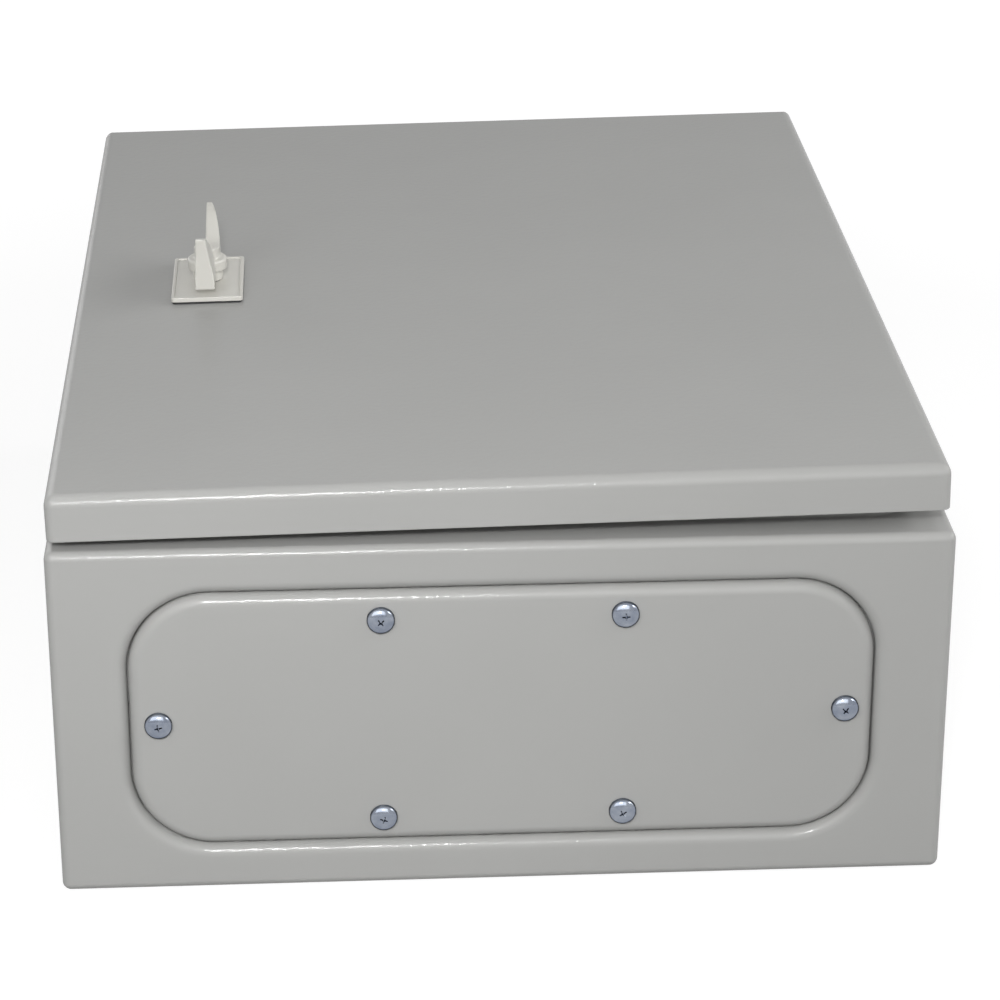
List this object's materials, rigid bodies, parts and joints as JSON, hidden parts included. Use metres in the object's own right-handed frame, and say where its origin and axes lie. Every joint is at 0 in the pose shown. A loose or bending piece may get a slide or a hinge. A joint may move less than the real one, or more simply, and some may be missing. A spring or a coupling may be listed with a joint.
{
  "type": "steel enclosure",
  "caption": "Wall-mounting sheet-steel enclosure with a hinged door, a quarter-turn wing lock, a mounting plate and a pressed gland plate.",
  "frame": {"origin": "centre of the flat back face, which stands on a wall or a floor", "axes": "+Z out of the door, +X from the lock side to the hinge side, +Y from the gland plate to the plain end"},
  "size_m": [0.3, 0.403, 0.1714],
  "materials": {
    "grey_paint": "semi-gloss powder coat with a fine texture",
    "bright_zinc": "bright zinc plate with a faint blue cast",
    "galvanised": "galvanised, satin",
    "dark_steel": "plated steel, satin",
    "pale_plastic": "moulded, warm light grey, satin",
    "black_rubber": "matt",
    "foam_strip": "matt foam"
  },
  "bodies": {
    "enclosure": {"body_shell": "grey_paint", "gland_plate": "grey_paint", "gland_gasket": "black_rubber", "gland_screw_1": "bright_zinc", "gland_screw_2": "bright_zinc", "gland_screw_3": "bright_zinc", "gland_screw_4": "bright_zinc", "gland_screw_5": "bright_zinc", "gland_screw_6": "bright_zinc", "gland_nut_1": "galvanised", "gland_nut_2": "galvanised", "gland_nut_3": "galvanised", "gland_nut_4": "galvanised", "gland_nut_5": "galvanised", "gland_nut_6": "galvanised", "mounting_plate": "galvanised", "plate_stud_1": "galvanised", "plate_stud_2": "galvanised", "plate_stud_3": "galvanised", "plate_stud_4": "galvanised", "plate_washer_1": "galvanised", "plate_washer_2": "galvanised", "plate_washer_3": "galvanised", "plate_washer_4": "galvanised", "plate_nut_1": "galvanised", "plate_nut_2": "galvanised", "plate_nut_3": "galvanised", "plate_nut_4": "galvanised", "wall_plug_1": "black_rubber", "wall_plug_2": "black_rubber", "wall_plug_3": "black_rubber", "wall_plug_4": "black_rubber", "body_earth_stud": "bright_zinc", "body_earth_washer": "bright_zinc", "body_earth_nut": "bright_zinc", "body_leaf_lower": "grey_paint", "body_leaf_upper": "grey_paint", "hinge_pin_lower": "bright_zinc", "hinge_pin_upper": "bright_zinc"},
    "door": {"door_panel": "grey_paint", "door_gasket": "foam_strip", "door_leaf_lower": "grey_paint", "door_leaf_upper": "grey_paint", "door_earth_stud": "bright_zinc", "door_earth_washer": "bright_zinc", "door_earth_nut": "bright_zinc", "lock_housing": "pale_plastic", "lock_seal": "black_rubber", "lock_nut": "bright_zinc"},
    "handle": {"wing_handle": "pale_plastic", "lock_spindle": "bright_zinc", "lock_cam": "dark_steel", "cam_washer": "bright_zinc", "cam_screw": "bright_zinc"}
  },
  "joints": [
    {"name": "door_hinge", "type": "hinge", "parent": "enclosure", "child": "door", "pos_m": [0.1415, 0, 0.139], "axis": [0, 1, 0], "range_deg": [0, 120]},
    {"name": "handle_turn", "type": "hinge", "parent": "door", "child": "handle", "pos_m": [-0.10014, 0, 0.14638], "axis": [-0.015, 0, 0.9999], "range_deg": [0, 90]}
  ]
}
